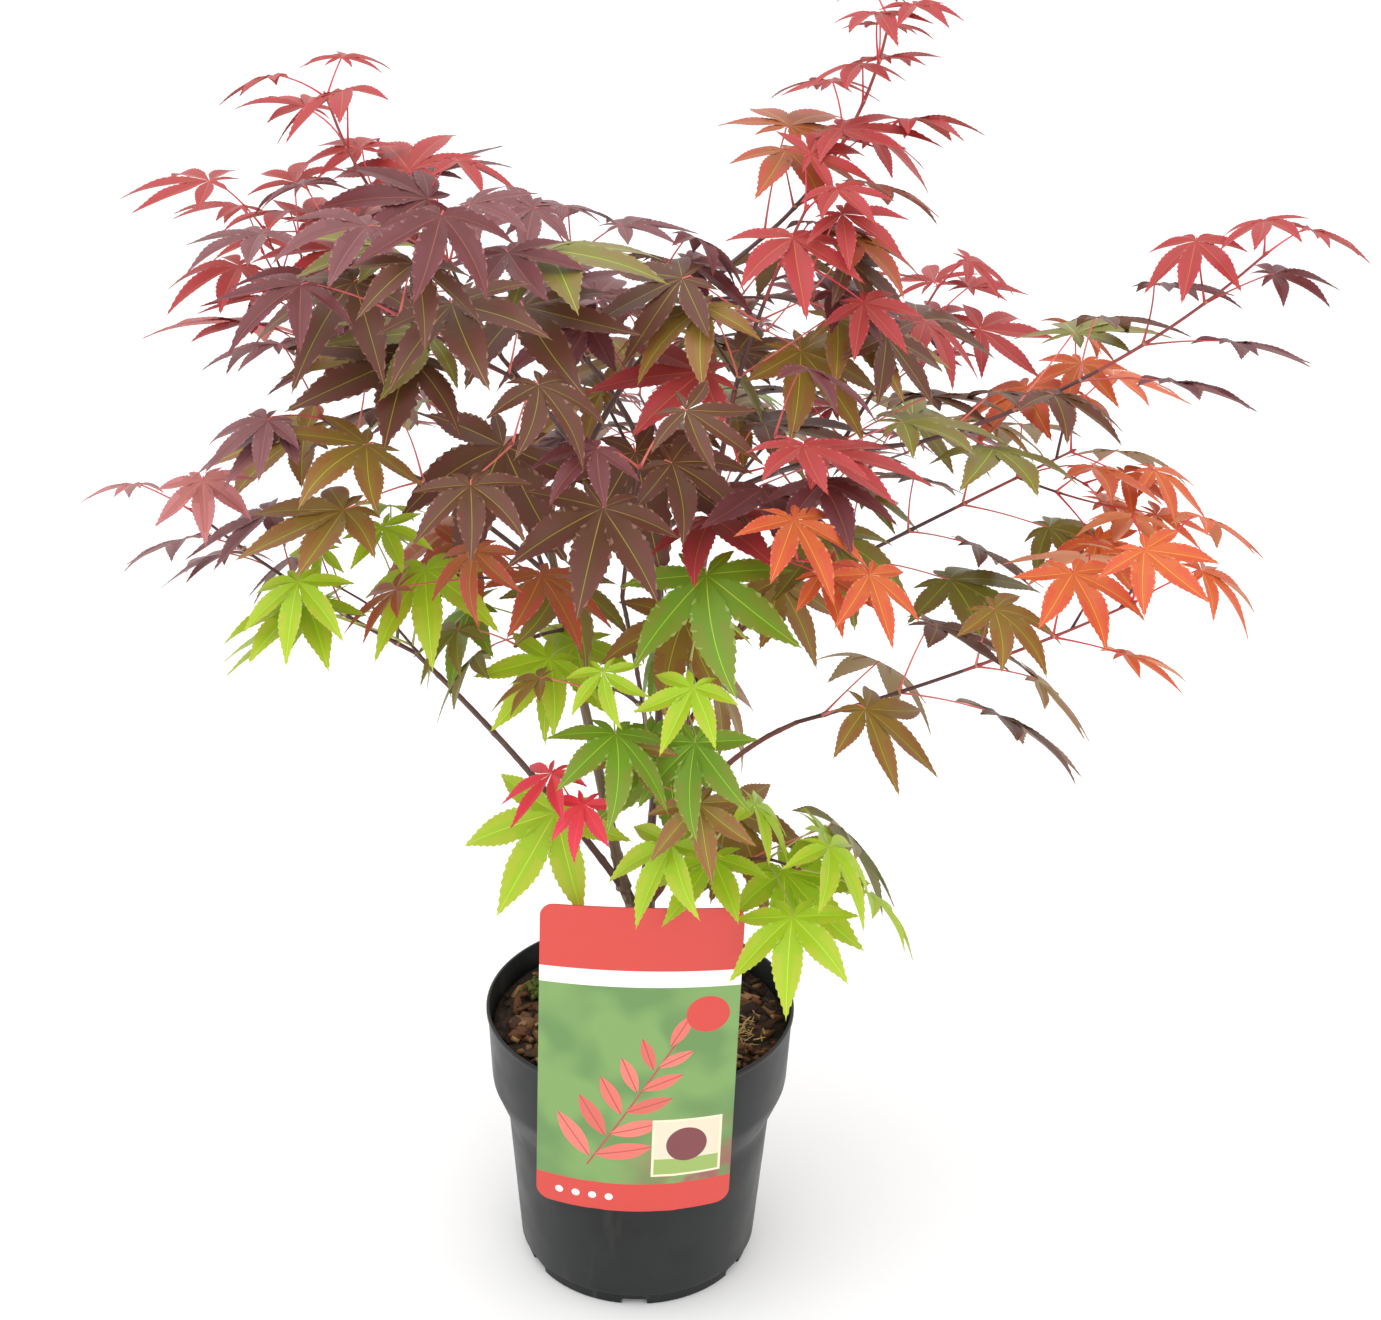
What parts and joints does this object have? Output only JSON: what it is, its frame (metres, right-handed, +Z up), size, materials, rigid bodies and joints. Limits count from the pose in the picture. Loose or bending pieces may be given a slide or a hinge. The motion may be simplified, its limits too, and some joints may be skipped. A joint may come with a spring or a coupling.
{
  "type": "potted japanese maple",
  "caption": "Young many-stemmed Japanese maple with deeply cut purple, red and green leaves in a round black nursery pot with a clip-on label.",
  "frame": {"origin": "middle of the flat underside of the pot, at the level that it stands on", "axes": "+Z up along the pot's axis, -Y towards the side that bears the label, +X to the right seen from that side"},
  "size_m": [0.6799, 0.4924, 0.7891],
  "materials": {
    "pot_plastic": "matte, slightly grey black",
    "growing_mix": "rough bark chips",
    "label_print": null,
    "bark": "smooth young bark",
    "foliage": "thin matte leaves, purple to green"
  },
  "bodies": {
    "root": {"pot": "pot_plastic", "growing_mix": "growing_mix", "label": "label_print", "trunk": "bark", "left_fork": "bark", "left_stem": "bark", "left_low_stem": "bark", "centre_stem": "bark", "right_fork": "bark", "right_stem": "bark", "low_right_stem": "bark", "leader": "bark", "left_back_arm": "bark", "left_front_arm": "bark", "high_left_arm": "bark", "front_left_arm": "bark", "high_right_arm": "bark", "slim_stem": "bark", "low_right_arm": "bark", "mid_right_arm": "bark", "back_left_arm": "bark", "back_arm": "bark", "back_right_arm": "bark", "crown_front": "foliage", "centre_front": "foliage", "crown_left_front": "foliage", "low_right_tip": "foliage", "right_front": "foliage", "high_right_front": "foliage", "right_front_low": "foliage", "centre_low_spray": "foliage", "left_centre_spray": "foliage", "low_front_spray": "foliage", "left_front_tip": "foliage", "left_low_side": "foliage", "crown_mid_left": "foliage", "outer_left_spray": "foliage", "left_low_tip": "foliage", "low_right_spray": "foliage", "low_left_spray": "foliage", "mid_left_spray": "foliage", "high_right_tip": "foliage", "right_stem_top": "foliage", "leader_left": "foliage", "leader_right": "foliage", "crown_left": "foliage", "crown_mid": "foliage", "top_spray": "foliage", "mid_right_tip": "foliage", "high_left_tip": "foliage", "centre_top": "foliage", "left_back_tip": "foliage", "high_right_back": "foliage", "leader_back": "foliage", "high_back_spray": "foliage", "back_left_spray": "foliage", "back_right_spray": "foliage", "back_spray": "foliage"}
  },
  "joints": []
}
